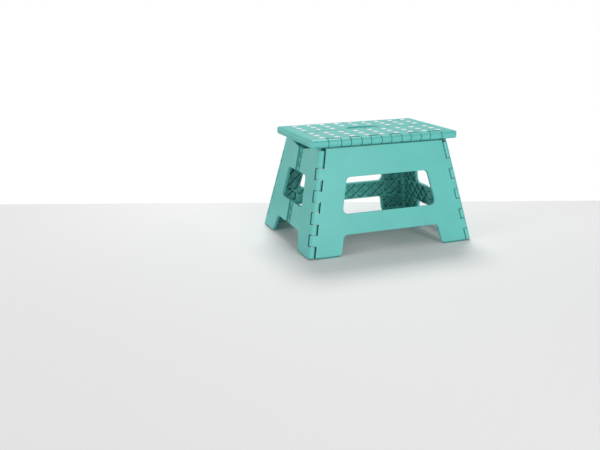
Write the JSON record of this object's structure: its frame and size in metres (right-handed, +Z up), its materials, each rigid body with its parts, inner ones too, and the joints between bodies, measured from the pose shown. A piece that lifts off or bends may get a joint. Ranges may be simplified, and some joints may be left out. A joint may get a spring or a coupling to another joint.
{
  "type": "folding step stool",
  "caption": "Low folding plastic step stool with a two-part hinged top, grip dots, hand grip opening, windowed leg panels and ends that fold in at the middle.",
  "frame": {"origin": "centre of the footprint at floor level", "axes": "+X along the long side of the top, towards the right end; +Y towards the rear panel; +Z up"},
  "size_m": [0.3552, 0.2776, 0.2205],
  "materials": {
    "shell_plastic": "fine moulded grain",
    "grip_rubber": "soft matt",
    "pin_steel": "drawn rod",
    "foot_rubber": "matt"
  },
  "bodies": {
    "front_leg": {"front_leg_panel": "shell_plastic", "front_left_foot_pad": "foot_rubber", "front_right_foot_pad": "foot_rubber", "front_left_corner_pin": "pin_steel", "front_right_corner_pin": "pin_steel"},
    "top_front": {"top_front_half": "shell_plastic", "top_front_grip_dots": "grip_rubber", "top_seam_hinge_pin": "pin_steel", "front_edge_hinge_pin": "pin_steel"},
    "top_rear": {"top_rear_half": "shell_plastic", "top_rear_grip_dots": "grip_rubber", "rear_edge_hinge_pin": "pin_steel"},
    "rear_leg": {"rear_leg_panel": "shell_plastic", "rear_left_foot_pad": "foot_rubber", "rear_right_foot_pad": "foot_rubber", "rear_left_corner_pin": "pin_steel", "rear_right_corner_pin": "pin_steel"},
    "left_front_end": {"left_front_end_half": "shell_plastic", "left_lower_middle_pin": "shell_plastic", "left_upper_middle_pin": "shell_plastic"},
    "left_rear_end": {"left_rear_end_half": "shell_plastic"},
    "right_rear_end": {"right_rear_end_half": "shell_plastic", "right_lower_middle_pin": "shell_plastic", "right_upper_middle_pin": "shell_plastic"},
    "right_front_end": {"right_front_end_half": "shell_plastic"}
  },
  "joints": [
    {"name": "front_edge_hinge", "type": "hinge", "parent": "front_leg", "child": "top_front", "pos_m": [0, -0.092, 0.212], "axis": [1, 0, 0], "range_deg": [0, 74.5]},
    {"name": "top_seam_hinge", "type": "hinge", "parent": "top_front", "child": "top_rear", "pos_m": [0, 0, 0.207], "axis": [-1, 0, 0], "range_deg": [0, 165]},
    {"name": "rear_edge_hinge", "type": "hinge", "parent": "top_rear", "child": "rear_leg", "pos_m": [0, 0.092, 0.212], "axis": [1, 0, 0], "range_deg": [0, 74.5]},
    {"name": "left_front_corner_hinge", "type": "hinge", "parent": "front_leg", "child": "left_front_end", "pos_m": [-0.15281, -0.11173, 0.09333], "axis": [-0.1927, -0.2114, -0.9582], "range_deg": [0, 88]},
    {"name": "right_front_corner_hinge", "type": "hinge", "parent": "front_leg", "child": "right_front_end", "pos_m": [0.15281, -0.11173, 0.09333], "axis": [-0.1927, 0.2114, 0.9582], "range_deg": [0, 88]},
    {"name": "left_rear_corner_hinge", "type": "hinge", "parent": "rear_leg", "child": "left_rear_end", "pos_m": [-0.15281, 0.11173, 0.09333], "axis": [0.1927, -0.2114, 0.9582], "range_deg": [0, 88]},
    {"name": "right_rear_corner_hinge", "type": "hinge", "parent": "rear_leg", "child": "right_rear_end", "pos_m": [0.15281, 0.11173, 0.09333], "axis": [0.1927, 0.2114, -0.9582], "range_deg": [0, 88]}
  ],
  "couplings": [
    {"joint": "front_edge_hinge", "follows": "top_seam_hinge", "ratio": 0.45151},
    {"joint": "rear_edge_hinge", "follows": "top_seam_hinge", "ratio": 0.45151},
    {"joint": "left_front_corner_hinge", "follows": "top_seam_hinge", "ratio": 0.53333},
    {"joint": "right_front_corner_hinge", "follows": "top_seam_hinge", "ratio": 0.53333},
    {"joint": "left_rear_corner_hinge", "follows": "top_seam_hinge", "ratio": 0.53333},
    {"joint": "right_rear_corner_hinge", "follows": "top_seam_hinge", "ratio": 0.53333}
  ]
}
